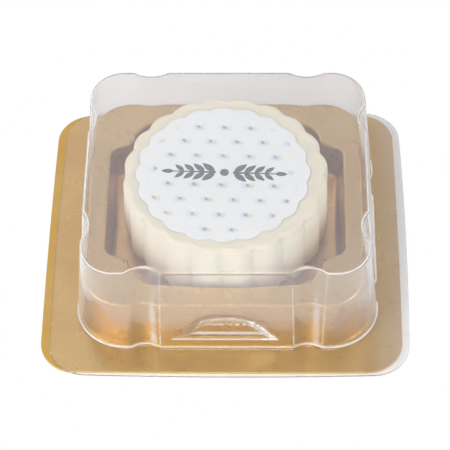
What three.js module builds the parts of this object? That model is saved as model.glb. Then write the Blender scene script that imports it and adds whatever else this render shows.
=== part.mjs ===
// A fluted white chocolate praline with a round plaque on its top, in its closed retail pack:
// a gold tray formed from thin sheet, and a clear lid pressed over the tray's raised block.
// Millimetres, +Z up. z = 0 is the surface that the pack stands on, and x = y = 0 is the
// middle of the pack's outer box.
import * as THREE from 'three';
import { mergeVertices } from 'three/addons/utils/BufferGeometryUtils.js';

// ---- Driving dimensions ----------------------------------------------------------------

const sheet = { tray: 0.4, lid: 0.3 };      // thickness of the two formed sheets
const gap = 0.3;                            // air between pieces that touch in the real pack

// The cut edges of the tray and of the lid: both slipped a little sideways on each other.
const trayFlange = { x: -0.665, y: 0.47, halfX: 30.0, halfY: 28.13, corner: 6.0, bow: 0.15 };
const lidFlange = { x: 0.665, y: 0, halfX: 30.0, halfY: 28.8, corner: 6.2, bow: 0.35 };

const lidHeight = 18.63;                    // from the tray's flange to the lid's top
const plateauHeight = 10.1;                 // from the tray's flange to the top of its block
const trayTop = sheet.tray;                 // top of the tray's flange
const lidFoot = trayTop + gap + sheet.lid;  // top of the lid's flange
const lidTop = trayTop + lidHeight;
const plateau = trayTop + plateauHeight;

// The outside of the walls of the lid and of the tray's block, at their foot and at their top.
// Each wall has two upright grooves, centred about (groove.x, groove.y), and their depths are
// listed for the front, right, back and left side.
const lidWall = {
  top: lidTop, sheet: sheet.lid, footFillet: 0.5, topFillet: 0.5,
  atFoot: { x: 0.27, y: 0.35, halfX: 24.94, halfY: 23.45, corner: 8.2, grooveHalf: 2.3 },
  atTop: { x: 0.15, y: 0.25, halfX: 23.3, halfY: 21.73, corner: 5.6, grooveHalf: 2.85 },
  groove: { x: 0.3, y: -0.1, footDepth: [0.75, 0.75, 0.15, 0.75], topDepth: [1.22, 1.2, 0.9, 1.0] },
};
const blockWall = {
  top: plateau, sheet: sheet.tray, footFillet: 0.5, topFillet: 0.35,
  atFoot: { x: -0.05, y: 0.51, halfX: 23.8, halfY: 22.68, corner: 7.8, grooveHalf: 1.9 },
  atTop: { x: -0.11, y: 0.47, halfX: 22.87, halfY: 21.73, corner: 6.4, grooveHalf: 2.1 },
  groove: { x: 0, y: -0.1, footDepth: [0.48, 0.48, 0.32, 0.5], topDepth: [0.48, 0.48, 0.32, 0.5] },
};
const grooveOffset = { x: 13.3, y: 11.5 };  // from the middle of a side to each of its grooves
const innerFillet = 0.2;                    // of the sheets' inner faces, round their top

// Dents with slanted ends that lock the lid to the tray, low in the front and in the back wall.
const dent = { half: 8.4, low: 2.7, height: 5.1, depth: 1.1, slope: 0.4, ledge: 0.15 };

// The pocket for the praline: a rounded block with a finger lobe on each side.
const pocket = {
  x: -0.1, y: 0.55,
  blockHalfX: 16.0, blockHalfY: 17.15, crown: 18.15, crownRadius: 60, blockCorner: 4.8,
  lobeHalfX: 19.8, lobeHalfY: 11.0, lobeCorner: 1.8,
  neckY: 12.7, neckRadius: 1.2,
  depth: 6.5, draft: 0.55, edgeFillet: 0.5, floorFillet: 1.0,
};
const pocketFloor = plateau - pocket.depth;

const flutes = 20;
const praline = {
  x: -0.03, y: 0.7, top: 17.4,
  topRadius: 17.0, footRadius: 17.25, fluteDepth: 0.65, crestAngle: 8,
  topFillet: 0.9, footFillet: 2.2,
};
const plaque = {
  x: -0.45, y: 0.45, radius: 14.5, scallopDepth: 0.6, crestAngle: 1,
  thickness: 0.6, proud: 0.2, edge: 0.15,
};

// How finely curves are stepped.
const cornerSteps = 5;
const grooveSteps = 5;
const fluteSteps = 6;
const dentStations = [-1, -0.84, -0.6, -0.3, 0, 0.3, 0.6, 0.84, 1];
const dentLevels = [0.3, 0.58, 0.8, 1];     // of the dent's height, above its ledge

// ---- Closed skins ----------------------------------------------------------------------

// Collects the faces of one closed body. Loops run anticlockwise seen from above, and a
// strip faces outwards when it runs up an outside wall or inwards along a top face.
class Skin {
  constructor() {
    this.positions = [];
  }

  triangle(a, b, c) {
    for (const p of [a, b, c]) this.positions.push(p.x, p.y, p.z);
  }

  strip(from, to) {
    from.forEach((point, i) => {
      const next = (i + 1) % from.length;
      this.triangle(point, from[next], to[next]);
      this.triangle(point, to[next], to[i]);
    });
  }

  strips(loops) {
    for (let i = 1; i < loops.length; i++) this.strip(loops[i - 1], loops[i]);
  }

  // A level face inside the loop `rim` and round the loop `hole`, if there is one.
  face(rim, hole, facesUp) {
    const holes = hole ? [hole] : [];
    const points = [...rim, ...(hole ?? [])];
    for (const [a, b, c] of THREE.ShapeUtils.triangulateShape(rim, holes)) {
      if (facesUp) this.triangle(points[a], points[b], points[c]);
      else this.triangle(points[a], points[c], points[b]);
    }
  }

  geometry() {
    const loose = new THREE.BufferGeometry();
    loose.setAttribute('position', new THREE.Float32BufferAttribute(this.positions, 3));
    const merged = mergeVertices(loose, 1e-4);
    merged.computeVertexNormals();
    return merged;
  }
}

// ---- Outlines --------------------------------------------------------------------------

// Points of an arc round (x, y) from one angle to another, in radians, both ends included.
function arc(x, y, radius, start, end, steps) {
  return Array.from({ length: steps + 1 }, (_, i) => {
    const angle = start + (end - start) * i / steps;
    return { x: x + radius * Math.cos(angle), y: y + radius * Math.sin(angle) };
  });
}

// The cut edge of a flange: a rounded rectangle whose sides bow out a little.
function flangeLoop(flange, z) {
  const { halfX, halfY, corner, bow } = flange;
  const points = [];
  for (let side = 0; side < 4; side++) {
    const along = side % 2 ? halfY : halfX;
    const out = side % 2 ? halfX : halfY;
    const reach = along - corner;
    const local = [-1, -0.5, 0, 0.5].map((t) => ({ x: reach * t, y: -out + bow * t * t }));
    local.push(...arc(reach - bow, bow - out + corner, corner, -Math.PI / 2, 0, cornerSteps).slice(0, -1));
    points.push(...local.map((p) => turned(p, side)));
  }
  return points.map((p) => new THREE.Vector3(p.x + flange.x, p.y + flange.y, z));
}

// A point of the front side, carried to the front, right, back or left side.
function turned(p, side) {
  return [p, { x: -p.y, y: p.x }, { x: -p.x, y: -p.y }, { x: p.y, y: -p.x }][side];
}

const share = (low, high, value) => Math.min(1, Math.max(0, (value - low) / (high - low)));
const smooth = (t) => t * t * (3 - 2 * t);

// How far the lock dent is pushed in at `along` from its middle and at height z.
function dentDepth(along, z, inset) {
  const { half, low, height } = dentOutline(inset);
  if (z <= low) return 0;
  const up = (z - low) / height;
  const distance = (up ** 6 + (up / 2 + Math.abs(along / half)) ** 6) ** (1 / 6);
  return dent.depth * smooth(share(1, 1 - dent.slope, distance));
}

// The dent on a surface that lies further in is lower at its ledge and wider all round.
function dentOutline(inset) {
  const inner = Math.max(0, inset);
  const height = dent.height + 1.5 * inner;
  return { half: dent.half + inner / 2, low: trayTop + dent.low - inner, height };
}

// How far inside the lid's outside the dent of a wall's face lies.
const dentInset = (wall, inset) => (wall === lidWall ? inset : inset + sheet.lid + gap);

// A level section of a wall's outside at height z, moved inwards by `inset`.
function wallLoop(wall, z, inset) {
  const t = share(trayTop, wall.top, z);
  const mix = (foot, top) => foot + (top - foot) * t;
  const at = (key) => mix(wall.atFoot[key], wall.atTop[key]);
  const halfX = at('halfX') - inset;
  const halfY = at('halfY') - inset;
  const corner = at('corner') - inset;
  const grooveHalf = at('grooveHalf') + inset / 2;
  const slip = { x: wall.groove.x - at('x'), y: wall.groove.y - at('y') };
  const points = [];
  for (let side = 0; side < 4; side++) {
    const along = side % 2 ? halfY : halfX;
    const out = side % 2 ? halfX : halfY;
    const grooveAt = side % 2 ? grooveOffset.y : grooveOffset.x;
    const grooveSlip = [slip.x, slip.y, -slip.x, -slip.y][side];
    const footDepth = wall.groove.footDepth[side];
    const grooveDepth = footDepth + (wall.groove.topDepth[side] - footDepth) * t * t;
    const bend = (grooveHalf ** 2 + grooveDepth ** 2) / (2 * grooveDepth);
    const grooveAround = (centre) => Array.from({ length: grooveSteps + 1 }, (_, i) => {
      const away = grooveHalf * (2 * i / grooveSteps - 1);
      return { x: centre + away, y: -out + grooveDepth - bend + Math.sqrt(bend ** 2 - away ** 2) };
    });
    const dentAcross = side % 2 ? [] : dentStations.map((u) => {
      const x = u * dentOutline(dentInset(wall, inset)).half;
      return { x, y: -out + dentDepth(x, z, dentInset(wall, inset)) };
    });
    const turn = arc(along - corner, corner - out, corner, -Math.PI / 2, 0, cornerSteps).slice(0, -1);
    const local = [
      ...grooveAround(grooveSlip - grooveAt), ...dentAcross, ...grooveAround(grooveSlip + grooveAt), ...turn,
    ];
    points.push(...local.map((p) => turned(p, side)));
  }
  return points.map((p) => new THREE.Vector3(p.x + at('x'), p.y + at('y'), z));
}

// The sections of one face of a wall, from the flange's top at `foot` up to the wall's top,
// with its foot fillet, its dents and its top fillet.
function wallLoops(wall, foot, isInside) {
  const inset = isInside ? wall.sheet : 0;
  const top = wall.top - inset;
  const topFillet = isInside ? innerFillet : wall.topFillet;
  const footRadius = wall.footFillet + inset;
  const footCentre = foot + wall.footFillet;
  const lift = Math.SQRT1_2;
  const { low, height } = dentOutline(dentInset(wall, inset));
  return [
    wallLoop(wall, footCentre - footRadius, -wall.footFillet),
    wallLoop(wall, footCentre - footRadius * lift, footRadius * lift - wall.footFillet),
    wallLoop(wall, footCentre, inset),
    wallLoop(wall, low, inset),
    wallLoop(wall, low + dent.ledge, inset),
    ...dentLevels.map((level) => wallLoop(wall, low + height * level, inset)),
    wallLoop(wall, top - topFillet, inset),
    wallLoop(wall, top - topFillet * (1 - lift), inset + topFillet * (1 - lift)),
    wallLoop(wall, top, inset + topFillet),
  ];
}

// Corners of the pocket's outline, anticlockwise, grown by `out` on every side.
function pocketCorners(out) {
  const p = pocket;
  const quarter = [
    { x: p.lobeHalfX, y: p.lobeHalfY, r: p.lobeCorner },
    { x: p.blockHalfX, y: p.neckY, r: -p.neckRadius },
    { x: p.blockHalfX, y: p.blockHalfY, r: p.blockCorner },
  ];
  const mirrored = (list, sx, sy) => list.map((c) => ({ x: c.x * sx, y: c.y * sy, r: c.r }));
  const crown = { x: 0, y: p.crown, r: p.crownRadius };
  const corners = [
    ...quarter, crown, ...mirrored(quarter, -1, 1).reverse(),
    ...mirrored(quarter, -1, -1), { ...crown, y: -p.crown }, ...mirrored(quarter, 1, -1).reverse(),
  ];
  return grown(corners, out);
}

// Moves every side of a polygon outwards. r < 0 marks a corner that points into the shape.
function grown(corners, out) {
  const sideNormal = (a, b) => new THREE.Vector2(b.y - a.y, a.x - b.x).normalize();
  return corners.map((corner, i) => {
    const before = sideNormal(corners.at(i - 1), corner);
    const after = sideNormal(corner, corners[(i + 1) % corners.length]);
    const step = out / (1 + before.dot(after));
    return {
      x: corner.x + (before.x + after.x) * step,
      y: corner.y + (before.y + after.y) * step,
      r: corner.r + out,
    };
  });
}

// Rounds each corner of a polygon with an arc that touches both of its sides.
function roundedLoop(corners, centre, z) {
  const points = [];
  corners.forEach((corner, i) => {
    const toLast = new THREE.Vector2().subVectors(corners.at(i - 1), corner).normalize();
    const toNext = new THREE.Vector2().subVectors(corners[(i + 1) % corners.length], corner).normalize();
    const halfAngle = Math.acos(toLast.dot(toNext)) / 2;
    const radius = Math.abs(corner.r);
    const heart = toLast.clone().add(toNext).normalize().multiplyScalar(radius / Math.sin(halfAngle));
    const x = corner.x + heart.x;
    const y = corner.y + heart.y;
    const start = toLast.clone().multiplyScalar(radius / Math.tan(halfAngle)).sub(heart);
    const sweep = Math.sign(corner.r) * (Math.PI - 2 * halfAngle);
    const steps = Math.max(2, Math.round(Math.abs(sweep) / (Math.PI / 2) * cornerSteps));
    points.push(...arc(x, y, radius, start.angle(), start.angle() + sweep, steps));
  });
  return points.map((p) => new THREE.Vector3(p.x + centre.x, p.y + centre.y, z));
}

const pocketLoop = (z, out) => roundedLoop(pocketCorners(out), pocket, z);

// A round outline of rounded lobes that meet in sharp inward cusps.
function flutedLoop(shape, radius, depth, z) {
  const count = flutes * fluteSteps;
  return Array.from({ length: count }, (_, i) => {
    const fromCrest = 2 * Math.PI * i / count;
    const angle = THREE.MathUtils.degToRad(shape.crestAngle) + fromCrest;
    const r = radius - depth * (1 - Math.abs(Math.cos(flutes * fromCrest / 2)));
    return new THREE.Vector3(shape.x + r * Math.cos(angle), shape.y + r * Math.sin(angle), z);
  });
}

// ---- The pieces ------------------------------------------------------------------------

// The clear lid: one sheet from its flat flange up the grooved walls and over the top.
function lidGeometry() {
  const skin = new Skin();
  const edge = [flangeLoop(lidFlange, lidFoot - sheet.lid), flangeLoop(lidFlange, lidFoot)];
  const outside = wallLoops(lidWall, lidFoot, false);
  const inside = wallLoops(lidWall, lidFoot, true).reverse();
  skin.strips(edge);
  skin.face(edge[1], outside[0], true);
  skin.strips(outside);
  skin.face(outside.at(-1), null, true);
  skin.face(inside[0], null, false);
  skin.strips(inside);
  skin.face(edge[0], inside.at(-1), false);
  return skin.geometry();
}

// One face of the pocket's sheet, from the plateau down to its floor. `under` is how far
// that face lies below and outside the side that the praline stands on.
function pocketLoops(under) {
  const { edgeFillet, floorFillet, draft } = pocket;
  const edgeRadius = edgeFillet - under;
  const floorRadius = floorFillet + under;
  const lift = Math.SQRT1_2;
  const edgeZ = plateau - edgeFillet;
  const floorZ = pocketFloor + floorFillet;
  return [
    pocketLoop(edgeZ + edgeRadius, edgeFillet),
    pocketLoop(edgeZ + edgeRadius * lift, edgeFillet - edgeRadius * lift),
    pocketLoop(edgeZ, under),
    pocketLoop(floorZ, under - draft),
    pocketLoop(floorZ - floorRadius * lift, floorRadius * lift - draft - floorFillet),
    pocketLoop(floorZ - floorRadius, -draft - floorFillet),
  ];
}

// The gold tray: flange, raised block with the pocket in it, and a hollow underneath.
function trayGeometry() {
  const skin = new Skin();
  const edge = [flangeLoop(trayFlange, 0), flangeLoop(trayFlange, trayTop)];
  const outside = wallLoops(blockWall, trayTop, false);
  const inside = wallLoops(blockWall, trayTop, true).reverse();
  const well = pocketLoops(0);
  const wellUnder = pocketLoops(sheet.tray).reverse();
  skin.strips(edge);
  skin.face(edge[1], outside[0], true);
  skin.strips(outside);
  skin.face(outside.at(-1), well[0], true);
  skin.strips(well);
  skin.face(well.at(-1), null, true);
  skin.face(wellUnder[0], null, false);
  skin.strips(wellUnder);
  skin.face(inside[0], wellUnder.at(-1), false);
  skin.strips(inside);
  skin.face(edge[0], inside.at(-1), false);
  return skin.geometry();
}

// The praline: a fluted, slightly tapered block with a shallow seat for its plaque.
function pralineGeometry() {
  const { top, topRadius, footRadius, fluteDepth, topFillet, footFillet } = praline;
  const foot = pocketFloor + gap;
  const side = (radius, z) => flutedLoop(praline, radius, fluteDepth, z);
  const seat = (z) => flutedLoop(plaque, plaque.radius + gap, plaque.scallopDepth, z);
  const seatFloor = top + plaque.proud - plaque.thickness - gap;
  const ease = 1 - Math.SQRT1_2;
  const loops = [
    side(footRadius - footFillet, foot),
    side(footRadius - footFillet * ease, foot + footFillet * ease),
    side(footRadius, foot + footFillet),
    side(topRadius, top - topFillet),
    side(topRadius - topFillet * ease, top - topFillet * ease),
    side(topRadius - topFillet, top),
  ];
  const skin = new Skin();
  skin.face(loops[0], null, false);
  skin.strips(loops);
  skin.face(loops.at(-1), seat(top), true);
  skin.strip(seat(top), seat(seatFloor));
  skin.face(seat(seatFloor), null, true);
  return skin.geometry();
}

// The plaque: a thin scalloped disc that stands a little proud of the praline's top.
function plaqueGeometry() {
  const top = praline.top + plaque.proud;
  const outline = (radius, z) => flutedLoop(plaque, radius, plaque.scallopDepth, z);
  const loops = [
    outline(plaque.radius, top - plaque.thickness),
    outline(plaque.radius, top - plaque.edge),
    outline(plaque.radius - plaque.edge, top),
  ];
  const skin = new Skin();
  skin.face(loops[0], null, false);
  skin.strips(loops);
  skin.face(loops.at(-1), null, true);
  return skin.geometry();
}

// ---- The assembled pack ----------------------------------------------------------------

const goldFilm = new THREE.MeshStandardMaterial({ color: 0xc2a06c, roughness: 0.38, metalness: 0.6 });
const clearFilm = new THREE.MeshStandardMaterial({
  color: 0xf2f3f4, roughness: 0.06, metalness: 0, transparent: true, opacity: 0.2,
});
const whiteChocolate = new THREE.MeshStandardMaterial({ color: 0xf4ecd8, roughness: 0.45, metalness: 0 });
const printedSugar = new THREE.MeshStandardMaterial({ color: 0xebedf0, roughness: 0.55, metalness: 0 });

function piece(name, geometry, material) {
  const mesh = new THREE.Mesh(geometry, material);
  mesh.name = name;
  return mesh;
}

const pack = new THREE.Group();
pack.add(piece('tray', trayGeometry(), goldFilm));
pack.add(piece('praline', pralineGeometry(), whiteChocolate));
pack.add(piece('plaque', plaqueGeometry(), printedSugar));
pack.add(piece('lid', lidGeometry(), clearFilm));

export default pack;
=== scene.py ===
# A fluted white chocolate praline with a printed plaque on its top, in its closed retail
# pack: a tray formed from satin gold film, and a clear lid pressed over it. The solids are
# worked out in millimetres and stored in metres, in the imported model's own frame.
import math
import bpy
import numpy as np
from mathutils import Matrix, Vector, geometry


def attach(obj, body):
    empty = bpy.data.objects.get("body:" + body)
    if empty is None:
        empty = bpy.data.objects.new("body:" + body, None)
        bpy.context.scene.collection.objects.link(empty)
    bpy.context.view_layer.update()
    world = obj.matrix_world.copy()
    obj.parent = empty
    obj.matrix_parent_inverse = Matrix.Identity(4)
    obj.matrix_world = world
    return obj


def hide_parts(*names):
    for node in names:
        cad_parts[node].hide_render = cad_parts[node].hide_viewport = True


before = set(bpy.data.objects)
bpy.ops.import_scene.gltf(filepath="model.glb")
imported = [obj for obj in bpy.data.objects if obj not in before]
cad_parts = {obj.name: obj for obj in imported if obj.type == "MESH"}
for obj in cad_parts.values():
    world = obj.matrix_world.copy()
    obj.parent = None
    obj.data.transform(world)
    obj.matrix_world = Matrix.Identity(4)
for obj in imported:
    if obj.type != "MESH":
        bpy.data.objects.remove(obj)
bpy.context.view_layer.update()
MM = 0.001

# ---- Dimensions, in millimetres ---------------------------------------------------------

SHEET_TRAY, SHEET_LID, GAP = 0.4, 0.3, 0.3
TRAY_TOP = SHEET_TRAY
LID_FOOT = TRAY_TOP + GAP + SHEET_LID
LID_TOP = TRAY_TOP + 18.63
PLATEAU = TRAY_TOP + 10.1

TRAY_FLANGE = dict(x=-0.665, y=0.47, half_x=30.0, half_y=28.13, corner=6.0, bow=0.15)
LID_FLANGE = dict(x=0.665, y=0.0, half_x=30.0, half_y=28.8, corner=6.2, bow=0.35)
NICK = 0.06

# Walls, at their foot and at their top. The sides go round as front, right, back and left.
LID_WALL = dict(
    top_z=LID_TOP, sheet=SHEET_LID, foot_fillet=0.5, top_fillet=0.5,
    foot=dict(x=0.27, y=0.35, half_x=24.94, half_y=23.45, corner=8.2),
    top=dict(x=0.15, y=0.25, half_x=23.30, half_y=21.73, corner=5.6),
    groove_x=0.3, groove_y=-0.1, groove_half=(2.3, 2.85),
    groove_foot=(0.75, 0.75, 0.15, 0.75), groove_top=(1.22, 1.2, 0.9, 1.0),
)
BLOCK_WALL = dict(
    top_z=PLATEAU, sheet=SHEET_TRAY, foot_fillet=0.5, top_fillet=0.35,
    foot=dict(x=-0.05, y=0.51, half_x=23.80, half_y=22.68, corner=7.8),
    top=dict(x=-0.11, y=0.47, half_x=22.87, half_y=21.73, corner=6.4),
    groove_x=0.0, groove_y=-0.1, groove_half=(1.9, 2.1),
    groove_foot=(0.48, 0.48, 0.32, 0.5), groove_top=(0.48, 0.48, 0.32, 0.5),
)
GROOVE_AT_X, GROOVE_AT_Y, GROOVE_ROUND = 13.3, 11.5, 0.1
INNER_FILLET = 0.2
DENT = dict(half=8.4, low=2.7, height=5.1, depth=1.1, slope=0.4, ledge=0.3, power=6)
POCKET = dict(
    x=-0.1, y=0.55, block_x=16.0, block_y=17.15, crown=18.15, crown_radius=60, block_corner=4.8,
    lobe_x=19.8, lobe_y=11.0, lobe_corner=1.8, neck_y=12.7, neck_radius=1.2,
    depth=6.5, draft=0.55, edge_fillet=0.5, floor_fillet=1.0,
)
FLUTES = 20
PRALINE = dict(
    x=-0.03, y=0.7, top=17.4, top_radius=17.0, foot_radius=17.25, depth=0.65, crest=8.0,
    top_fillet=0.9, foot_fillet=2.2, cusp=0.06, wobble=0.03,
)
PLAQUE = dict(
    x=-0.45, y=0.45, radius=14.5, depth=0.6, crest=1.0, thickness=0.6, proud=0.2, edge=0.15, cusp=0.05,
)
# The praline's top dips a little towards a low lip, which hugs the plaque from just above the top
# down into its seat.
RIM = dict(dip=0.08, lip=0.06, lip_gap=0.12, seat=0.05, seat_gap=0.03, below=0.1, wobble=0.015)
# The sprig's berry, the ends of its stem, the stem's half width and taper, and its leaves.
ORNAMENT = dict(
    x=-0.2, y=0.52, turn=math.radians(-2.1), berry=0.75, stem=(1.4, 8.6), stalk=0.2, taper=0.1,
    leaves_at=(1.6, 3.3, 5.0, 6.7), shrink=0.09, leaf=(2.75, 1.12), lean=math.radians(40),
    tip_at=8.4, tip=(2.1, 0.9), half_thickness=0.02,
)
POCKET_FLOOR = PLATEAU - POCKET["depth"]
PLAQUE_TOP = PRALINE["top"] + PLAQUE["proud"]

# How finely the faces are drawn. A narrow level ring beside each fillet ends its shading.
QUARTER = np.linspace(0, math.pi / 2, 9)
RING, NICK_RING = 0.12, 0.1
FLANGE_SIDE, FLANGE_CORNER, WALL_CORNER, LOBE_STEPS = 33, 20, 22, 22
# Points between the grooves: on the sides with a lock dent, and on the others.
WALL_MIDDLE = (61, 17)
# Across a groove, in half widths: how far its points reach, and where they stand closer. They
# stop just short of the wall's corner.
GROOVE_REACH, GROOVE_CLOSE, GROOVE_POINTS, SHORT_OF_CORNER = 1.35, 0.8, (19, 8), 0.98

# ---- Meshes -----------------------------------------------------------------------------


class Skin:
    """Points and faces of one piece. Loops run anticlockwise seen from above."""

    def __init__(self):
        self.points, self.faces, self.flat, self.count = [], [], [], 0

    def loop(self, xyz):
        start = self.count
        self.points.append(np.asarray(xyz, float))
        self.count += len(xyz)
        return np.arange(start, self.count)

    def strip(self, a, b, flat=False):
        """Faces outwards when it runs up an outside wall, or inwards over a top face."""
        an, bn = np.roll(a, -1), np.roll(b, -1)
        self.faces += np.stack([a, an, bn, b], 1).tolist()
        self.flat += [flat] * len(a)

    def strips(self, loops):
        made = [self.loop(xyz) for xyz in loops]
        for a, b in zip(made, made[1:]):
            self.strip(a, b)
        return made

    def fill(self, rim, hole=None, up=True):
        """A level face inside the loop rim, and round the loop hole."""
        at = np.concatenate(self.points)
        rings = [rim] if hole is None else [rim, hole]
        index = np.concatenate(rings)
        flat_rings = [[Vector((at[i][0], at[i][1], 0.0)) for i in ring] for ring in rings]
        for tri in geometry.tessellate_polygon(flat_rings):
            a, b, c = (index[i] for i in tri)
            (abx, aby), (acx, acy) = (at[b] - at[a])[:2], (at[c] - at[a])[:2]
            area = abx * acy - acx * aby
            if abs(area) < 1e-12:
                continue
            self.faces.append([int(a), int(b), int(c)] if (area > 0) == up else [int(a), int(c), int(b)])
            self.flat.append(True)

    def piece(self, name, finish, node=None):
        mesh = bpy.data.meshes.new(name)
        mesh.from_pydata((np.concatenate(self.points) * MM).tolist(), [], self.faces)
        mesh.validate()
        mesh.polygons.foreach_set("use_smooth", [not f for f in self.flat])
        mesh.update()
        mesh.materials.append(finish)
        made = bpy.data.objects.new(name, mesh)
        bpy.context.scene.collection.objects.link(made)
        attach(made, "root")
        if node:
            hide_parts(node)


def share(low, high, value):
    return np.clip((value - low) / (high - low), 0.0, 1.0)


def smooth(t):
    return t * t * (3 - 2 * t)


def with_z(xy, z):
    return np.column_stack([xy, np.full(len(xy), float(z))])


def spin(xy, angle):
    c, s = math.cos(angle), math.sin(angle)
    return xy @ np.array([[c, s], [-s, c]])


def turned(xy, side):
    x, y = xy[:, 0], xy[:, 1]
    return np.column_stack([(x, y), (-y, x), (-x, -y), (y, -x)][side])


def arc(x, y, radius, start, end, steps):
    a = np.linspace(start, end, steps + 1)
    return np.column_stack([x + radius * np.cos(a), y + radius * np.sin(a)])


def flange_loop(flange, z, inset=0.0):
    """The cut edge of a flange: a rounded rectangle whose sides bow out a little."""
    half_x, half_y = flange["half_x"] - inset, flange["half_y"] - inset
    corner, bow = flange["corner"] - inset, flange["bow"]
    points = []
    for side in range(4):
        along, out = (half_y, half_x) if side % 2 else (half_x, half_y)
        reach = along - corner
        t = np.linspace(-1, 1, FLANGE_SIDE)[:-1]
        bend = arc(reach - bow, bow - out + corner, corner, -math.pi / 2, 0, FLANGE_CORNER)
        points.append(turned(np.column_stack([reach * t, -out + bow * t * t]), side))
        points.append(turned(bend[:-1], side))
    return with_z(np.concatenate(points) + [flange["x"], flange["y"]], z)


def dent_inset(wall, inset):
    """How far a face of a wall lies inside the lid's outside, which the lock dent is drawn from."""
    return inset if wall is LID_WALL else inset + SHEET_LID + GAP


def dent_outline(inset):
    inner = max(0.0, inset)
    return DENT["half"] + inner / 2, TRAY_TOP + DENT["low"] - inner, DENT["height"] + 1.5 * inner


def dent_depth(along, z, inset):
    """How far the lock dent is pushed in, at a distance from its middle and a height."""
    half, low, height = dent_outline(inset)
    power, ledge = DENT["power"], DENT["ledge"] / 2
    up = max(0.0, z - low) / height
    distance = (up ** power + (up / 2 + np.abs(along / half)) ** power) ** (1 / power)
    rise = smooth(share(low - ledge, low + ledge, z))
    return DENT["depth"] * smooth(share(1, 1 - DENT["slope"], distance)) * rise


def groove_depth(away, half, depth):
    """A groove's circular section, run on as its tangent and rounded into the wall."""
    bend = (half ** 2 + depth ** 2) / (2 * depth)
    cut = np.sqrt(bend ** 2 - np.minimum(away, half) ** 2) - (bend - depth)
    cut -= np.maximum(away - half, 0) * half / (bend - depth)
    return 0.5 * (cut + np.sqrt(cut * cut + GROOVE_ROUND ** 2))


def wall_loop(wall, z, inset):
    """A level section of a wall's outside, moved inwards by inset."""
    t = float(share(TRAY_TOP, wall["top_z"], z))
    x, y, half_x, half_y, corner = (
        wall["foot"][key] + (wall["top"][key] - wall["foot"][key]) * t
        for key in ("x", "y", "half_x", "half_y", "corner")
    )
    half_x, half_y, corner = half_x - inset, half_y - inset, corner - inset
    narrow, wide = wall["groove_half"]
    g_half = narrow + (wide - narrow) * t + inset / 2
    slip_x, slip_y = wall["groove_x"] - x, wall["groove_y"] - y
    points = []
    for side in range(4):
        along, out = (half_y, half_x) if side % 2 else (half_x, half_y)
        g_at = GROOVE_AT_Y if side % 2 else GROOVE_AT_X
        slip = (slip_x, slip_y, -slip_x, -slip_y)[side]
        g_foot, g_top = wall["groove_foot"][side], wall["groove_top"][side]
        g_depth = g_foot + (g_top - g_foot) * t * t
        reach = along - corner
        outer = min(GROOVE_REACH, SHORT_OF_CORNER * (reach - g_at - abs(slip)) / g_half)
        u = np.concatenate([
            np.linspace(-GROOVE_REACH, GROOVE_CLOSE, GROOVE_POINTS[0])[:-1],
            np.linspace(GROOVE_CLOSE, outer, GROOVE_POINTS[1]),
        ])
        right = g_at + g_half * u
        middle = np.linspace(slip - right[0], slip + right[0], WALL_MIDDLE[side % 2] + 2)[1:-1]
        along_side = np.concatenate([slip - right[::-1], middle, slip + right])
        move = np.zeros(len(along_side))
        for centre in (slip - g_at, slip + g_at):
            move += groove_depth(np.abs(along_side - centre), g_half, g_depth)
        if side % 2 == 0:
            move += dent_depth(along_side, z, dent_inset(wall, inset))
        bend = arc(reach, corner - out, corner, -math.pi / 2, 0, WALL_CORNER)
        points.append(turned(np.column_stack([along_side, -out + move]), side))
        points.append(turned(bend[:-1], side))
    return with_z(np.concatenate(points) + [x, y], z)


def wall_loops(wall, foot, inside=False):
    """Sections of one face of a wall, from the flange's top at foot up to the wall's top."""
    inset = wall["sheet"] if inside else 0.0
    fillet, top = wall["foot_fillet"], wall["top_z"] - inset
    top_fillet = INNER_FILLET if inside else wall["top_fillet"]
    radius = fillet + inset
    _, low, height = dent_outline(dent_inset(wall, inset))
    loops = [wall_loop(wall, foot + fillet - radius, -fillet - RING)]
    for a in QUARTER:
        level = foot + fillet - radius * math.cos(a)
        loops.append(wall_loop(wall, level, radius * math.sin(a) - fillet))
    # The levels stand close where the dent's ledge rises, and above it up to the dent's crown.
    ledge, crown = DENT["ledge"], low + height * 1.02
    levels = np.concatenate([
        np.linspace(foot + fillet, low - 0.8 * ledge, 4)[1:],
        np.linspace(low - 0.5 * ledge, low + 0.5 * ledge, 9),
        np.linspace(low + 0.8 * ledge, crown, 26),
        np.linspace(crown, top - top_fillet, 8)[1:],
    ])
    loops += [wall_loop(wall, z, inset) for z in levels]
    for a in QUARTER[1:]:
        level = top - top_fillet * (1 - math.sin(a))
        loops.append(wall_loop(wall, level, inset + top_fillet * (1 - math.cos(a))))
    loops.append(wall_loop(wall, top, inset + top_fillet + RING))
    return loops


def mirrored(corners, sx, sy):
    return [(x * sx, y * sy, r) for x, y, r in corners]


def pocket_corners(out):
    """Corners of the pocket's outline, grown by out. r < 0 points into the shape."""
    p = POCKET
    quarter = [
        (p["lobe_x"], p["lobe_y"], p["lobe_corner"]),
        (p["block_x"], p["neck_y"], -p["neck_radius"]),
        (p["block_x"], p["block_y"], p["block_corner"]),
    ]
    half = quarter + [(0, p["crown"], p["crown_radius"])] + mirrored(quarter, -1, 1)[::-1]
    corners = half + mirrored(half, 1, -1)[::-1]
    grown = []
    for i, (x, y, r) in enumerate(corners):
        ax, ay, _ = corners[i - 1]
        bx, by, _ = corners[(i + 1) % len(corners)]
        before = Vector((y - ay, ax - x)).normalized()
        after = Vector((by - y, x - bx)).normalized()
        step = out / (1 + before.dot(after))
        grown.append((x + (before.x + after.x) * step, y + (before.y + after.y) * step, r + out))
    return grown


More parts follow.
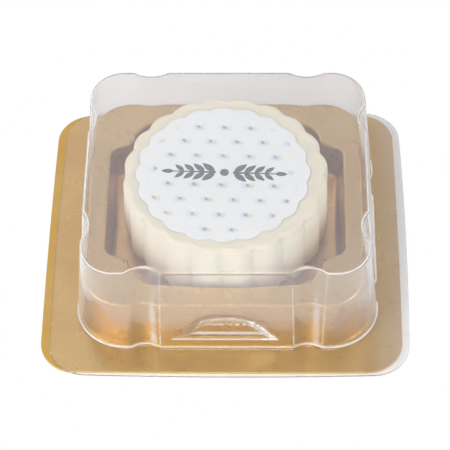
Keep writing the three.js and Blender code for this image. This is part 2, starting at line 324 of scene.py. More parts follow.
def pocket_loop(z, out):
    corners = pocket_corners(out)
    points = []
    for i, (x, y, r) in enumerate(corners):
        at = Vector((x, y))
        to_last = (Vector(corners[i - 1][:2]) - at).normalized()
        to_next = (Vector(corners[(i + 1) % len(corners)][:2]) - at).normalized()
        half = math.acos(to_last.dot(to_next)) / 2
        radius = abs(r)
        heart = (to_last + to_next).normalized() * (radius / math.sin(half))
        begin = to_last * (radius / math.tan(half)) - heart
        start = math.atan2(begin.y, begin.x)
        sweep = math.copysign(math.pi - 2 * half, r)
        steps = 12 if radius < 50 else 16
        points.append(arc(x + heart.x, y + heart.y, radius, start, start + sweep, steps))
    return with_z(np.concatenate(points) + [POCKET["x"], POCKET["y"]], z)


def lobes(shape, radius, depth, cusp):
    """A round outline of rounded lobes that meet in inward cusps, closest set at the cusps."""
    t = np.sin(np.linspace(-1, 1, LOBE_STEPS + 1)[:-1] * math.pi / 2)
    out = np.concatenate([(k + t / 2) * 2 * math.pi / FLUTES for k in range(FLUTES)])
    wave = np.sqrt(np.cos(FLUTES * out / 2) ** 2 + cusp ** 2)
    r = radius - depth * (1 - wave)
    angle = out + math.radians(shape["crest"])
    return np.column_stack([shape["x"] + r * np.cos(angle), shape["y"] + r * np.sin(angle)])


# ---- Materials --------------------------------------------------------------------------

# Colours that are written as text are sRGB, and the others linear.
GOLD_LIGHT, GOLD_DARK = "DDB76E", "D8AD64"
# Then the paler block, the painted shade in the pocket, and the painted reflection on the low front.
GOLD_PALE_BLOCK, GOLD_POCKET_SHADE, GOLD_LOW_REFLECTION = "CBA97A", "D9A562", "DDBA5A"
CREAM_LIGHT, CREAM_DARK = "FCFCEC", "FAF8E6"
# The top's painted shade, the painted warm light from the gold on the lower sides, and the painted shade in
# the pits.
CREAM_TOP_SHADE, CREAM_GOLD_BOUNCE, CREAM_PIT_SHADE = "ECE5D1", "CFA468", "E3D2AE"
SUGAR_LIGHT, SUGAR_DARK = "F6F9FA", "F2F6F8"
SLATE_DARK, SLATE_LIGHT = "384B5A", "4B5F6E"
FILM_GLASS, FILM_VEIL = (1.0, 0.995, 1.0, 1.0), (0.78, 0.785, 0.795, 1.0)
# The white of the film's painted highlights, and the film's tint towards lamps.
FILM_HIGHLIGHT, FILM_TO_LAMPS = (0.97, 0.97, 0.96, 1.0), "FAFAFA"
WHITE = (1.0, 1.0, 1.0, 1.0)

# How fine the noises of the gold and of the clear film are, per metre, and the gold's heights.
GOLD_BROAD, GOLD_CLOUD, GOLD_GRAIN = 90.0, 420.0, 5200.0
CLOUD_HEIGHT, GRAIN_HEIGHT = 0.009, 0.0012
FILM_HAZE, FILM_PLEATS, FILM_SPARKS = 260.0, 1500.0, 2300.0
# Where the gold turns paler on the block, the half sizes of the pocket's part, the heights at its upper
# walls where its painted shade fades out, and the low front's painted reflection: in y, in height, and
# towards its corners.
PALE_ABOVE, POCKET_HALF_X, POCKET_HALF_Y = (3.0, 8.0), 21.5, 18.5
POCKET_SHADE_BELOW = (PLATEAU - 1.0, PLATEAU - 0.3)
LOW_BEFORE, LOW_BELOW, LOW_CORNERS = (-19.5, -19.0), (1.0, 6.0), (16.0, 25.0)
DROOP_FROM, DROOP_SLOPE = 24.5, 0.06

# The film's painted highlights on the grooves: each crease and flank fades between two distances. The flank
# is a little right of the groove's middle, and the outer crease on the left stays clear.
CREASE_FADE, CREASE_FROM, FLANK_AT, FLANK_FADE = (0.03, 0.16), (-15.0, -14.8), 1.3, (0.1, 0.8)
# Its painted highlight lines round the bends: their height, and the distances they fade between.
FOOT_LINE, FOOT_FADE, BRIM_LINE, BRIM_FADE = LID_FOOT + 0.22, (0.07, 0.13), LID_TOP - 0.15, (0.06, 0.10)
# Where its front wall and its back wall begin, in y, and the heights between which both lie.
FRONT_WALL, BACK_WALL, WALL_FOOT, WALL_TOP = (-20.3, -20.2), (20.2, 20.3), (1.2, 2.0), 18.7
# The distances from the walls' middle that part the painted highlight on the dent's sill from the one on its
# shelf.
SILL_FROM, SHELF_TO = (22.90, 23.05), (22.25, 22.35)
MOST_MILKY, MOST_WHITE = 0.92, 0.9

# The first dot's place, the distance of the dots in a row, that of the rows, and their turn.
DOT_ORIGIN, DOT_PITCH, DOT_ROW, DOT_TURN = (-4.70, 10.54, 0.0), 4.374, 3.125, math.radians(-2.02)
DOT_NOISE, DOT_WANDER = 1.4, 0.45
# The spots that make up a dot: shift in x and y, radius, softness, squash, colour and weight.
DOT_SPOTS = (
    (-0.35, -0.1, 0.62, 0.36, 1.0, "CFE6F4", 0.65),
    (0.72, -0.15, 0.45, 0.28, 0.85, "E0D8C4", 0.6),
    (0.2, -0.2, 0.36, 0.22, 1.1, "A9C0D2", 0.55),
    (0.0, 0.05, 0.3, 0.2, 1.0, "76899C", 0.7),
)
# The print fades between two radii. One row of dots leaves this half width to the ornament.
PRINT_FADE, ORNAMENT_ROW, ORNAMENT_HALF = (12.3, 13.0), -3.0, 10.9


class Nodes:
    """A short way to write node trees. Numbers and colours are set on the sockets."""

    def __init__(self, tree):
        self.tree = tree
        tree.nodes.clear()

    def put(self, socket, value):
        if isinstance(value, bpy.types.NodeSocket):
            self.tree.links.new(value, socket)
        else:
            socket.default_value = value

    def add(self, kind, inputs=None, **settings):
        node = self.tree.nodes.new(kind)
        for key, value in settings.items():
            setattr(node, key, value)
        for key, value in (inputs or {}).items():
            self.put(node.inputs[key], value)
        return node

    def math(self, operation, *values):
        return self.add("ShaderNodeMath", dict(enumerate(values)), operation=operation).outputs[0]

    def times(self, first, *others):
        for other in others:
            first = self.math("MULTIPLY", first, other)
        return first

    def plus(self, first, *others):
        for other in others:
            first = self.math("ADD", first, other)
        return first

    def minus(self, a, b):
        return self.math("SUBTRACT", a, b)

    def size(self, value):
        return self.math("ABSOLUTE", value)

    def away(self, value, middle):
        return self.size(self.minus(value, middle))

    def below(self, value, limit):
        return self.math("LESS_THAN", value, limit)

    def length(self, a, b):
        return self.math("SQRT", self.plus(self.times(a, a), self.times(b, b)))

    def span(self, value, from_low, from_high, to_low=0.0, to_high=1.0, kind="LINEAR"):
        return self.add(
            "ShaderNodeMapRange",
            {0: value, 1: from_low, 2: from_high, 3: to_low, 4: to_high},
            interpolation_type=kind,
        ).outputs[0]

    def over(self, place, from_low, from_high, to_low=0.0, to_high=1.0, kind="LINEAR"):
        """The same for a place in the part's frame, between two places in millimetres."""
        return self.span(place, from_low * MM, from_high * MM, to_low, to_high, kind)

    def vector(self, operation, a, b, output="Vector"):
        return self.add("ShaderNodeVectorMath", {0: a, 1: b}, operation=operation).outputs[output]

    def axes(self, vector):
        return self.add("ShaderNodeSeparateXYZ", {0: vector}).outputs[:]

    def mix(self, factor, a, b):
        node = self.add("ShaderNodeMix", data_type="RGBA")
        for i, value in ((0, factor), (6, a), (7, b)):
            self.put(node.inputs[i], value)
        return node.outputs[2]

    def blend(self, factor, a, b):
        return self.add("ShaderNodeMixShader", {0: factor, 1: a.outputs[0], 2: b.outputs[0]})

    def noise(self, vector, scale, detail=2.0, rough=0.5, output="Fac"):
        return self.add(
            "ShaderNodeTexNoise", {"Vector": vector, "Scale": scale, "Detail": detail, "Roughness": rough}
        ).outputs[output]

    def bump(self, height, strength, distance):
        return self.add(
            "ShaderNodeBump", {"Height": height, "Strength": strength, "Distance": distance}
        ).outputs[0]

    def principled(self, inputs):
        self.surface(self.add("ShaderNodeBsdfPrincipled", inputs))

    def surface(self, shader):
        self.add("ShaderNodeOutputMaterial", {0: shader.outputs[0]})


def srgb(text):
    values = [int(text[i : i + 2], 16) / 255 for i in (0, 2, 4)]
    return tuple(v / 12.92 if v <= 0.04045 else ((v + 0.055) / 1.055) ** 2.4 for v in values) + (1.0,)


def material(name):
    """A new material, its nodes and the place on the object."""
    made = bpy.data.materials.new(name)
    made.use_nodes = True
    n = Nodes(made.node_tree)
    return made, n, n.add("ShaderNodeTexCoord").outputs["Object"]


def gold_film():
    """Satin gold film: a soft metal mirror with a fine grain and faint forming waves."""
    made, n, at = material("gold_film")
    x, y, z = n.axes(at)
    aside = n.size(x)
    broad = n.noise(at, GOLD_BROAD)
    grain = n.noise(at, GOLD_GRAIN, 2.0, 0.6)
    cloud = n.noise(at, GOLD_CLOUD, 3.0)
    colour = n.mix(n.span(broad, 0.35, 0.65), srgb(GOLD_LIGHT), srgb(GOLD_DARK))

    # The raised block is a paler gold.
    colour = n.mix(n.over(z, *PALE_ABOVE, 0.0, 0.75), colour, srgb(GOLD_PALE_BLOCK))

    # Painted shade: the walls and floor of the pocket are a deeper gold, as shade tinted by the pocket's own
    # gold.
    in_pocket = n.times(n.below(aside, POCKET_HALF_X * MM), n.below(n.size(y), POCKET_HALF_Y * MM))
    painted_light = n.times(in_pocket, n.over(z, *POCKET_SHADE_BELOW, 0.9, 0.0))
    # Painted reflection: the low front of the block is a deeper gold, as if it mirrored the gold flange,
    # less so towards its corners.
    low = n.times(n.over(y, *LOW_BEFORE, 1.0, 0.0), n.over(z, *LOW_BELOW, 0.8, 0.0))
    low = n.times(low, n.over(aside, *LOW_CORNERS, 1.0, 0.4))
    colour = n.mix(painted_light, colour, srgb(GOLD_POCKET_SHADE))
    colour = n.mix(low, colour, srgb(GOLD_LOW_REFLECTION))

    rough = n.plus(n.span(cloud, 0.3, 0.7, 0.26, 0.34), n.span(grain, 0.3, 0.7, -0.02, 0.03))
    height = n.plus(n.times(cloud, CLOUD_HEIGHT * MM), n.times(grain, GRAIN_HEIGHT * MM))
    # The flange droops a little on the left.
    droop = n.math("MAXIMUM", n.minus(n.times(x, -1.0), DROOP_FROM * MM), 0.0)
    height = n.minus(height, n.times(droop, DROOP_SLOPE))
    n.principled({
        "Base Color": colour, "Metallic": 1.0, "Roughness": rough, "Normal": n.bump(height, 1.0, 1.0),
    })
    return made


def groove_highlights(n, x, z):
    """Painted highlights on the grooves of the front and back wall: white creases and a paler right flank.
    """
    across = n.minus(x, LID_WALL["groove_x"] * MM)
    from_groove = n.minus(n.size(across), GROOVE_AT_X * MM)
    narrow, wide = LID_WALL["groove_half"]
    half = n.over(z, TRAY_TOP, LID_TOP, narrow * MM, wide * MM)
    crease = n.over(n.away(n.size(from_groove), half), *CREASE_FADE, 1.0, 0.0, "SMOOTHSTEP")
    crease = n.times(crease, n.over(x, *CREASE_FROM), n.over(z, 3.0, 12.0, 0.3, 0.1))
    rightward = n.times(from_groove, n.math("SIGN", across))
    flank = n.over(n.away(rightward, FLANK_AT * MM), *FLANK_FADE, 1.0, 0.0, "SMOOTHSTEP")
    return n.plus(crease, n.times(flank, n.over(z, 5.0, 12.0, 0.3, 0.05)))


def dent_highlights(n, at, x, y, z):
    """Painted highlights on the lock dents: on their rim and two ledges, streaks on their right slope, and
    small glints.
    """
    up = n.math("DIVIDE", n.minus(z, (TRAY_TOP + DENT["low"]) * MM), DENT["height"] * MM)
    out = n.plus(n.times(up, 0.5), n.math("DIVIDE", n.size(x), DENT["half"] * MM))
    # This is 1 on the dent's outline and falls towards its middle, as in dent_depth.
    gauge = n.plus(*(n.math("POWER", side, DENT["power"]) for side in (n.size(up), out)))
    gauge = n.math("POWER", gauge, 1 / DENT["power"])
    in_dent = n.times(n.below(gauge, 1.04), n.math("GREATER_THAN", up, -0.03))
    rim = n.span(n.away(gauge, 0.97), 0.01, 0.06, 1.0, 0.0, "SMOOTHSTEP")
    rim = n.times(rim, n.over(x, -4.0, 6.0, 0.04, 0.35))
    outward = n.away(y, LID_WALL["foot"]["y"] * MM)
    sill = n.times(n.span(n.size(up), 0.02, 0.05, 0.55, 0.0), n.over(outward, *SILL_FROM))
    shelf = n.times(n.span(up, 0.06, 0.1, 0.4, 0.0), n.over(outward, *SHELF_TO, 1.0, 0.0))
    highlight_streaks = n.span(n.noise(n.vector("MULTIPLY", at, (1.0, 1.0, 2.2)), FILM_PLEATS), 0.46, 0.56)
    slope = n.times(n.span(gauge, 0.7, 0.76), n.over(x, 3.5, 4.5), highlight_streaks, 0.6)
    sparks = n.span(n.noise(at, FILM_SPARKS, 1.0), 0.47, 0.6)
    sparks = n.times(sparks, n.span(n.away(up, 0.46), 0.02, 0.065, 0.6, 0.0), n.below(gauge, 0.8))
    return n.times(n.plus(rim, sill, shelf, slope, sparks), in_dent)


def bend_highlights(n, x, z, haze):
    """Painted highlight lines where the film bends: round the foot of its walls and round its upper edge."""
    aside = n.size(x)
    foot = n.over(n.away(z, FOOT_LINE * MM), *FOOT_FADE, 1.0, 0.0)
    foot = n.times(foot, n.over(aside, 12.0, 19.0, 0.28, 0.8))
    brim = n.over(n.away(z, BRIM_LINE * MM), *BRIM_FADE, 1.0, 0.0)
    brim = n.times(brim, n.over(aside, 10.5, 12.0, 0.1, 0.6))
    return n.times(n.plus(foot, brim), n.span(haze, 0.35, 0.65, 0.7, 1.15))


def clear_film():
    """Clear formed film. Lamps reach what is inside without being bent."""
    made, n, at = material("clear_film")
    x, y, z = n.axes(at)
    haze = n.noise(at, FILM_HAZE, 3.0)
    rough = n.span(haze, 0.35, 0.7, 0.015, 0.05)

    # The film is milky: more so high on its walls and where it is seen edge on.
    edge_on = n.add("ShaderNodeLayerWeight", {"Blend": 0.5}).outputs["Facing"]
    milky = n.times(n.over(z, 4.0, 18.0, 0.03, 0.12), n.over(z, 18.3, 18.7, 1.0, 0.75))
    milky = n.plus(milky, n.times(n.math("POWER", edge_on, 3.0), n.over(x, -10.0, 10.0, 0.3, 0.5)))
    # The front right corner is a little cloudier.
    corner = n.times(n.over(x, 15.0, 20.0, 0.0, 0.04), n.over(y, -19.0, -13.0, 1.0, 0.0))
    milky = n.plus(milky, n.times(corner, n.over(z, 1.2, 4.0)))
    # Painted reflection: the flange is milkier on the right, where it would catch more of the sky.
    flange = n.over(z, LID_FOOT + 0.05, LID_FOOT + 0.1, 1.0, 0.0)
    milky = n.plus(milky, n.times(flange, n.over(x, 23.5, 28.5, 0.0, 0.11)))
    milky = n.math("MINIMUM", milky, MOST_MILKY)

    # Painted highlights: white lines on the front wall, weaker on the back wall, and round the bends.
    on_wall = n.plus(n.over(y, *FRONT_WALL, 1.0, 0.0), n.over(y, *BACK_WALL, 0.0, 0.3))
    on_wall = n.times(on_wall, n.over(z, *WALL_FOOT), n.below(z, WALL_TOP * MM))
    grooves = n.times(groove_highlights(n, x, z), n.span(haze, 0.4, 0.6, 0.45, 1.3))
    painted_light = n.times(n.plus(grooves, dent_highlights(n, at, x, y, z)), on_wall)
    lines = n.math("MINIMUM", n.plus(painted_light, bend_highlights(n, x, z, haze)), MOST_WHITE)

    glass = n.add("ShaderNodeBsdfGlass", {"Color": FILM_GLASS, "Roughness": rough, "IOR": 1.5})
    veil = n.add("ShaderNodeBsdfDiffuse", {"Color": FILM_VEIL})
    painted_highlight = n.add("ShaderNodeBsdfDiffuse", {"Color": FILM_HIGHLIGHT})
    to_lamps = n.add("ShaderNodeBsdfTransparent", {"Color": srgb(FILM_TO_LAMPS)})
    film = n.blend(lines, n.blend(milky, glass, veil), painted_highlight)
    n.surface(n.blend(n.add("ShaderNodeLightPath").outputs["Is Shadow Ray"], film, to_lamps))
    return made


def white_chocolate():
    """Creamy white chocolate: waxy, a little translucent, with fine pits and a faint mottle; painted shade
    on its top and in its pits, and painted warm light from the gold low on its sides.
    """
    made, n, at = material("white_chocolate")
    x, _, z = n.axes(at)
    broad = n.noise(at, 120.0, 3.0)
    fine = n.noise(at, 1500.0, 4.0, 0.6)
    pits = n.add("ShaderNodeTexVoronoi", {"Vector": at, "Scale": 420.0, "Randomness": 1.0})
    pit = n.span(pits.outputs["Distance"], 0.05, 0.14, 1.0, 0.0)
    colour = n.mix(n.span(broad, 0.3, 0.7), srgb(CREAM_LIGHT), srgb(CREAM_DARK))
    # Painted shade: the top is a little darker and greyer than the sides, as less light falls on it.
    crown = n.over(z, PRALINE["top"] - 1.2, PRALINE["top"] - 0.4)
    colour = n.mix(crown, colour, srgb(CREAM_TOP_SHADE))
    # Painted shade and painted light reflected from the gold: its lower sides near the gold walls of the
    # pocket are a tan tone.
    warm = n.times(n.over(n.size(x), 9.0, 16.5), n.over(z, 7.0, 15.5, 0.9, 0.0))
    colour = n.mix(warm, colour, srgb(CREAM_GOLD_BOUNCE))
    # Painted shade: the pits are also a little darker in colour, besides their dents in the bump.
    colour = n.mix(n.times(pit, 0.25), colour, srgb(CREAM_PIT_SHADE))
    height = n.plus(n.minus(n.times(fine, 0.25), n.times(pit, 0.4)), n.times(broad, 0.8))
    n.principled({
        "Base Color": colour, "Roughness": n.span(fine, 0.3, 0.7, 0.36, 0.5), "IOR": 1.46,
        "Subsurface Weight": 0.35, "Subsurface Radius": (1.0, 0.8, 0.55), "Subsurface Scale": 1.8 * MM,
        "Normal": n.bump(height, 0.3, 0.08 * MM),
    })
    return made


def printed_plaque():
    """Printed sugar sheet: cool white with a staggered pattern of soft two-tone dots."""
    made, n, at = material("printed_plaque")
    local = n.vector("MULTIPLY", at, (1 / MM, 1 / MM, 1 / MM))
    moved = n.vector("SUBTRACT", local, DOT_ORIGIN)
    spun = n.add(
        "ShaderNodeVectorRotate", {"Vector": moved, "Angle": -DOT_TURN}, rotation_type="Z_AXIS"
    ).outputs[0]
    wander = n.vector("SUBTRACT", n.noise(local, DOT_NOISE, output="Color"), (0.5, 0.5, 0.5))
    wander = n.vector("MULTIPLY", wander, (DOT_WANDER, DOT_WANDER, DOT_WANDER))
    x, y, _ = n.axes(n.vector("ADD", spun, wander))
    row = n.math("ROUND", n.math("DIVIDE", y, DOT_ROW))
    odd = n.math("MODULO", n.size(row), 2.0)
    column = n.minus(n.math("DIVIDE", x, DOT_PITCH), n.times(odd, 0.5))
    dx = n.times(n.minus(column, n.math("ROUND", column)), DOT_PITCH)
    dy = n.minus(y, n.times(row, DOT_ROW))

    # The print stops short of the edge, and leaves the row of the ornament clear.
    plain_x, plain_y, _ = n.axes(local)
    cx, cy = n.minus(plain_x, PLAQUE["x"]), n.minus(plain_y, PLAQUE["y"])
    printed = n.span(n.length(cx, cy), *PRINT_FADE, 1.0, 0.0, "SMOOTHSTEP")
    ornament_row = n.math("COMPARE", row, ORNAMENT_ROW, 0.5)
    kept_clear = n.times(ornament_row, n.below(n.size(cx), ORNAMENT_HALF))
    printed = n.times(printed, n.minus(1.0, kept_clear))

    mottle = n.noise(at, 700.0, 3.0)
    base = n.mix(n.span(mottle, 0.3, 0.7), srgb(SUGAR_LIGHT), srgb(SUGAR_DARK))
    for shift_x, shift_y, radius, soft, squash, colour, weight in DOT_SPOTS:
        distance = n.length(n.minus(dx, shift_x), n.times(n.minus(dy, shift_y), squash))
        spot = n.span(distance, radius - soft, radius + soft, 1.0, 0.0, "SMOOTHSTEP")
        base = n.mix(n.times(spot, printed, weight), base, srgb(colour))
    fibre = n.noise(at, 2600.0, 3.0, 0.6)
    n.principled({
        "Base Color": base, "Roughness": n.span(fibre, 0.3, 0.7, 0.48, 0.62), "IOR": 1.45,
        "Subsurface Weight": 0.15, "Subsurface Radius": (1.0, 0.9, 0.8), "Subsurface Scale": 0.8 * MM,
        "Normal": n.bump(fibre, 0.25, 0.05 * MM),
    })
    return made


def slate_ink():
    """Slate-grey printing ink, a little uneven."""
    made, n, at = material("slate_ink")
    patchy = n.noise(at, 2200.0, 3.0)
    n.principled({
        "Base Color": n.mix(n.span(patchy, 0.3, 0.7), srgb(SLATE_DARK), srgb(SLATE_LIGHT)),
        "Roughness": n.span(patchy, 0.3, 0.7, 0.45, 0.6), "Normal": n.bump(patchy, 0.2, 0.03 * MM),
    })
    return made


# ---- The pieces -------------------------------------------------------------------------


def edge_loops(flange, bottom, top):
    """The cut edge of a sheet, from its underside to its top, with its burrs rounded."""
    lift = NICK * (1 - math.sqrt(0.5))
    return [
        flange_loop(flange, bottom, NICK + NICK_RING),
        flange_loop(flange, bottom, NICK),
        flange_loop(flange, bottom + lift, lift),
        flange_loop(flange, bottom + NICK),
        flange_loop(flange, top - NICK),
        flange_loop(flange, top - lift, lift),
        flange_loop(flange, top, NICK),
        flange_loop(flange, top, NICK + NICK_RING),
    ]


def build_lid(finish):
    skin = Skin()
    edge = skin.strips(edge_loops(LID_FLANGE, LID_FOOT - SHEET_LID, LID_FOOT))
    outside = skin.strips(wall_loops(LID_WALL, LID_FOOT))
    inside = skin.strips(wall_loops(LID_WALL, LID_FOOT, inside=True)[::-1])
    skin.fill(edge[-1], outside[0])
    skin.fill(outside[-1])
    skin.fill(inside[0], up=False)
    skin.fill(edge[0], inside[-1], up=False)
    skin.piece("lid_clear", finish, "lid")


def pocket_loops(under):
    """One face of the pocket's sheet, from the plateau down to its floor."""
    edge_fillet, floor_fillet, draft = POCKET["edge_fillet"], POCKET["floor_fillet"], POCKET["draft"]
    edge_radius, floor_radius = edge_fillet - under, floor_fillet + under
    edge_z, floor_z, foot = PLATEAU - edge_fillet, POCKET_FLOOR + floor_fillet, -draft - floor_fillet
    loops = [pocket_loop(edge_z + edge_radius, edge_fillet + RING)]
    for a in QUARTER[::-1]:
        level = edge_z + edge_radius * math.sin(a)
        loops.append(pocket_loop(level, edge_fillet - edge_radius * math.cos(a)))
    for t in np.linspace(0, 1, 7)[1:-1]:
        loops.append(pocket_loop(edge_z + (floor_z - edge_z) * t, under - draft * t))
    for a in QUARTER:
        level = floor_z - floor_radius * math.sin(a)
        loops.append(pocket_loop(level, foot + floor_radius * math.cos(a)))
    loops.append(pocket_loop(floor_z - floor_radius, foot - RING))
    return loops


def build_tray(finish):
    skin = Skin()
    edge = skin.strips(edge_loops(TRAY_FLANGE, 0.0, TRAY_TOP))
    outside = skin.strips(wall_loops(BLOCK_WALL, TRAY_TOP))
    inside = skin.strips(wall_loops(BLOCK_WALL, TRAY_TOP, inside=True)[::-1])
    well = skin.strips(pocket_loops(0.0))
    well_under = skin.strips(pocket_loops(SHEET_TRAY)[::-1])
    skin.fill(edge[-1], outside[0])
    skin.fill(outside[-1], well[0])
    skin.fill(well[-1])
    skin.fill(well_under[0], up=False)
    skin.fill(inside[0], well_under[-1], up=False)
    skin.fill(edge[0], inside[-1], up=False)
    skin.piece("tray_gold", finish, "tray")


def wobble(xyz, amount):
    """Small smooth unevenness of a moulded face, from three waves, the same on every run."""
    x, y, z = xyz[:, 0], xyz[:, 1], xyz[:, 2]
    wave = (
        np.sin(0.43 * x + 0.9 + 0.5 * np.sin(0.31 * y)) * np.sin(0.37 * y - 0.4 + 0.6 * np.sin(0.27 * z))
        + 0.6 * np.sin(0.92 * x - 0.53 * y + 0.71 * z + 1.7)
        + 0.35 * np.sin(1.7 * y + 1.1 * x - 1.3 * z)
    )
    return amount * wave


def praline_profile():
    """The radius and height of the praline's side, from its underside to its top."""
    foot, top = POCKET_FLOOR + GAP, PRALINE["top"]
    foot_radius, top_radius = PRALINE["foot_radius"], PRALINE["top_radius"]
    foot_fillet, top_fillet = PRALINE["foot_fillet"], PRALINE["top_fillet"]
    low, high = foot + foot_fillet, top - top_fillet
    profile = []
    for a in QUARTER:
        level = foot + foot_fillet * (1 - math.cos(a))
        profile.append((foot_radius - foot_fillet * (1 - math.sin(a)), level))
    for t in np.linspace(0, 1, 16)[1:-1]:
        profile.append((foot_radius + (top_radius - foot_radius) * t, low + (high - low) * t))
    for a in np.linspace(0, math.pi / 2, 13):
        level = top - top_fillet * (1 - math.sin(a))
        profile.append((top_radius - top_fillet * (1 - math.cos(a)), level))
    return profile


def build_praline(finish):
    p = PRALINE
    made = []
    for radius, z in praline_profile():
        xyz = with_z(lobes(p, radius, p["depth"], p["cusp"]), z)
        out = xyz[:, :2] - [p["x"], p["y"]]
        out /= np.linalg.norm(out, axis=1)[:, None]
        xyz[:, :2] += out * wobble(xyz, p["wobble"])[:, None]
        made.append(xyz)
    last = made[-1]
    lip = with_z(lobes(PLAQUE, PLAQUE["radius"] + RIM["lip_gap"], PLAQUE["depth"], p["cusp"]), p["top"])
    for t in (0.08, 0.25, 0.5, 0.75, 0.92):
        ring = last + (lip - last) * t
        ring[:, 2] = p["top"] - RIM["dip"] * math.sin(math.pi * t) + wobble(ring, RIM["wobble"])
        made.append(ring)
    lip[:, 2] = p["top"] + RIM["lip"]
    seat = lobes(PLAQUE, PLAQUE["radius"] + RIM["seat_gap"], PLAQUE["depth"], p["cusp"])
    under = PLAQUE_TOP - PLAQUE["thickness"] - RIM["below"]
    made += [lip, with_z(seat, p["top"] - RIM["seat"]), with_z(seat, under)]
    skin = Skin()
    rings = skin.strips(made)
    skin.fill(rings[0], up=False)
    skin.fill(rings[-1])
    skin.piece("praline_body", finish, "praline")


def build_plaque(finish):
    p = PLAQUE
    radius, depth, edge, cusp = p["radius"], p["depth"], p["edge"], p["cusp"]
    loops = [with_z(lobes(p, radius, depth, cusp), PLAQUE_TOP - p["thickness"])]
    for a in np.linspace(0, math.pi / 2, 6):
        level = PLAQUE_TOP - edge * (1 - math.sin(a))
        loops.append(with_z(lobes(p, radius - edge * (1 - math.cos(a)), depth, cusp), level))
    # The scallops fade out towards the middle.
    for r in (14.2, 13.6, 12.6, 11.0, 9.0, 6.5, 4.0, 1.5):
        fade = smooth(float(share(4.0, radius, r)))
        loops.append(with_z(lobes(p, r, depth * fade, cusp), PLAQUE_TOP))
    skin = Skin()
    rings = skin.strips(loops)
    skin.fill(rings[0], up=False)
    skin.fill(rings[-1])
    skin.piece("plaque_disc", finish, "plaque")


def leaf(x, y, length, width, angle, steps=14):
    """A pointed leaf whose stalk end is at (x, y)."""
    t = np.linspace(0, 1, steps + 1)
    half = width / 2 * np.sin(math.pi * t ** 0.85) ** 0.9
    upper = np.column_stack([length * t, half])
    lower = np.column_stack([length * t, -half])[1:-1]
    return spin(np.concatenate([lower, upper[::-1]]), angle) + [x, y]


def ornament_shapes():
    """A slender sprig, the same to the left and to the right of a round berry."""
    o = ORNAMENT
    begin, end = o["stem"]
    reach = np.linspace(begin, end, 40)
    thick = o["stalk"] - o["taper"] * (reach - begin) / (end - begin)
    sprig = [np.concatenate([np.column_stack([reach, -thick]), np.column_stack([reach, thick])[::-1]])]
    for k, at in enumerate(o["leaves_at"]):
        length, width = (side * (1 - o["shrink"] * k) for side in o["leaf"])
        for way in (-1, 1):
            sprig.append(leaf(at, 0.12 * way, length, width, way * o["lean"]))
    sprig.append(leaf(o["tip_at"], 0.0, *o["tip"], 0.0))
    berry = arc(0.0, 0.0, o["berry"], 0.0, 2 * math.pi, 32)[:-1]
    return [berry] + [(part * [-1, 1])[::-1] for part in sprig] + sprig


def build_ornament(finish):
    skin = Skin()
    for shape in ornament_shapes():
        x, y = shape[:, 0], shape[:, 1]
        if np.sum(x * np.roll(y, -1) - np.roll(x, -1) * y) < 0:
            shape = shape[::-1]
        placed = spin(shape, ORNAMENT["turn"]) + [ORNAMENT["x"], ORNAMENT["y"]]
        low = skin.loop(with_z(placed, PLAQUE_TOP - ORNAMENT["half_thickness"]))
        high = skin.loop(with_z(placed, PLAQUE_TOP + ORNAMENT["half_thickness"]))
        skin.strip(low, high, True)
        skin.fill(low, up=False)
        skin.fill(high)
    skin.piece("plaque_ornament", finish)


build_tray(gold_film())
build_lid(clear_film())
build_praline(white_chocolate())
build_plaque(printed_plaque())
build_ornament(slate_ink())

# ---- Floor, light and camera ------------------------------------------------------------

FLOOR_HALF, FLOOR_GREY, FLOOR_GLOW = 2.5, (0.72, 0.72, 0.73, 1.0), 0.38
ROOM_COLOUR, ROOM_LEFT, ROOM_RIGHT = (1.0, 0.995, 0.985, 1.0), 0.43, 0.48
WINDOW_WAY, WINDOW_GAIN = (-0.2, -0.98, 0.0), 0.55
# Soft panels of the room: the way to each, the cosines where it begins and is full, and its gain.
PANELS = (
    ((-0.9, -0.32, 0.3), 0.88, 0.98, 2.3),
    ((0.9, -0.32, 0.3), 0.93, 0.985, 3.2),
    ((0.62, 0.05, 0.78), 0.88, 0.98, 0.4),
    ((0.0, -0.05, 1.0), 0.98, 0.995, 4.0),
    ((0.08, -0.62, 0.78), 0.88, 0.98, 0.18),
    ((-0.4, 0.55, 0.73), 0.85, 0.97, 0.45),
    ((-0.75, 0.6, 0.28), 0.93, 0.98, 0.5),
    ((0.75, 0.6, 0.28), 0.93, 0.98, 0.5),
)
# The key light, in metres and watts.
KEY = dict(place=(-0.405, -0.583, 0.558), aim=(0, 0, 0.01), size=(0.7, 0.5), power=1.36)
# The camera in degrees and metres, and its lens in pixels of the photograph's width.
CAMERA = dict(
    azimuth=2.015, elevation=51.428, roll=-1.510, distance=0.34799, target=(-0.000423, 0.003228, 0.0004),
    lens_px=2013.82, photo_px=450, sensor_mm=36.0, clip=(0.02, 20.0),
)


def build_floor():
    """A white floor for the eye. To other rays it is grey and also glows, a painted light, least at the back
    and right as a painted shadow of the pack.
    """
    mesh = bpy.data.meshes.new("floor")
    half = FLOOR_HALF
    corners = [(-half, -half, 0), (half, -half, 0), (half, half, 0), (-half, half, 0)]
    mesh.from_pydata(corners, [], [(0, 1, 2, 3)])
    made, n, at = material("floor_white")
    x, y, _ = n.axes(at)
    # Painted shadow: the glow fades towards the back and right, where the pack shades the floor.
    fade = n.plus(n.times(n.over(y, -30.0, 60.0), 0.6), n.times(n.over(x, -40.0, 35.0), 0.42))
    lit = n.add("ShaderNodeBsdfDiffuse", {"Color": FLOOR_GREY})
    glow = n.add("ShaderNodeEmission", {"Color": WHITE, "Strength": n.span(fade, 0.0, 1.0, FLOOR_GLOW, 0.0)})
    shaded = n.add("ShaderNodeAddShader", {0: lit.outputs[0], 1: glow.outputs[0]})
    white = n.add("ShaderNodeEmission", {"Color": WHITE, "Strength": 1.0})
    n.surface(n.blend(n.add("ShaderNodeLightPath").outputs["Is Camera Ray"], shaded, white))
    mesh.materials.append(made)
    floor = bpy.data.objects.new("floor", mesh)
    bpy.context.scene.collection.objects.link(floor)


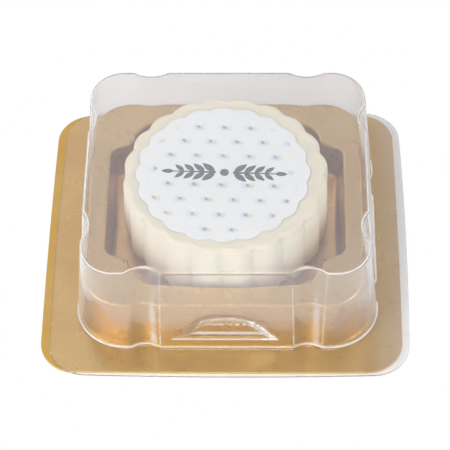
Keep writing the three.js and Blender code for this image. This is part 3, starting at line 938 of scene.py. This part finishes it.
def build_world():
    """A pale room with a long window, low at the front and left, and soft panels."""
    world = bpy.data.worlds.new("room")
    world.use_nodes = True
    bpy.context.scene.world = world
    n = Nodes(world.node_tree)
    sky = n.add("ShaderNodeTexCoord").outputs["Generated"]
    x, _, z = n.axes(sky)
    strength = n.span(x, -1.0, 1.0, ROOM_LEFT, ROOM_RIGHT)
    front = n.vector("DOT_PRODUCT", sky, WINDOW_WAY, "Value")
    window = n.span(front, 0.0, 0.8, 0.0, WINDOW_GAIN, "SMOOTHSTEP")
    window = n.times(window, n.span(z, 0.4, 0.7, 1.0, 0.0, "SMOOTHSTEP"))
    strength = n.plus(strength, window)
    for direction, begin, full, gain in PANELS:
        facing = n.vector("DOT_PRODUCT", sky, Vector(direction).normalized(), "Value")
        strength = n.plus(strength, n.span(facing, begin, full, 0.0, gain, "SMOOTHSTEP"))
    background = n.add("ShaderNodeBackground", {"Color": ROOM_COLOUR, "Strength": strength})
    n.add("ShaderNodeOutputWorld", {0: background.outputs[0]})


def build_key_light():
    lamp = bpy.data.lights.new("key", "AREA")
    lamp.shape, lamp.energy = "RECTANGLE", KEY["power"]
    lamp.size, lamp.size_y = KEY["size"]
    made = bpy.data.objects.new("key", lamp)
    made.location = KEY["place"]
    made.rotation_mode = "QUATERNION"
    made.rotation_quaternion = (Vector(KEY["place"]) - Vector(KEY["aim"])).to_track_quat("Z", "Y")
    bpy.context.scene.collection.objects.link(made)


def build_camera():
    """The photograph's own view: its lens, height and small roll."""
    azimuth, elevation, roll = (math.radians(CAMERA[key]) for key in ("azimuth", "elevation", "roll"))
    level = math.cos(elevation)
    back = Vector((math.sin(azimuth) * level, -math.cos(azimuth) * level, math.sin(elevation)))
    right = (-back).cross(Vector((0, 0, 1))).normalized()
    up = right.cross(-back)
    across = math.cos(roll) * right + math.sin(roll) * up
    upright = -math.sin(roll) * right + math.cos(roll) * up
    place = Vector(CAMERA["target"]) + back * CAMERA["distance"]
    data = bpy.data.cameras.new("camera")
    data.sensor_width = CAMERA["sensor_mm"]
    data.lens = CAMERA["sensor_mm"] * CAMERA["lens_px"] / CAMERA["photo_px"]
    data.clip_start, data.clip_end = CAMERA["clip"]
    made = bpy.data.objects.new("camera", data)
    made.matrix_world = Matrix((
        (across.x, upright.x, back.x, place.x),
        (across.y, upright.y, back.y, place.y),
        (across.z, upright.z, back.z, place.z),
        (0, 0, 0, 1),
    ))
    bpy.context.scene.collection.objects.link(made)
    bpy.context.scene.camera = made


build_floor()
build_world()
build_key_light()
build_camera()

scene = bpy.context.scene
scene.view_settings.view_transform = "Standard"
scene.view_settings.look = "None"
# Light passes through several faces of clear film on its way.
scene.cycles.max_bounces = 64
scene.cycles.transmission_bounces = 64
scene.cycles.glossy_bounces = 12
scene.cycles.diffuse_bounces = 4
scene.cycles.transparent_max_bounces = 32
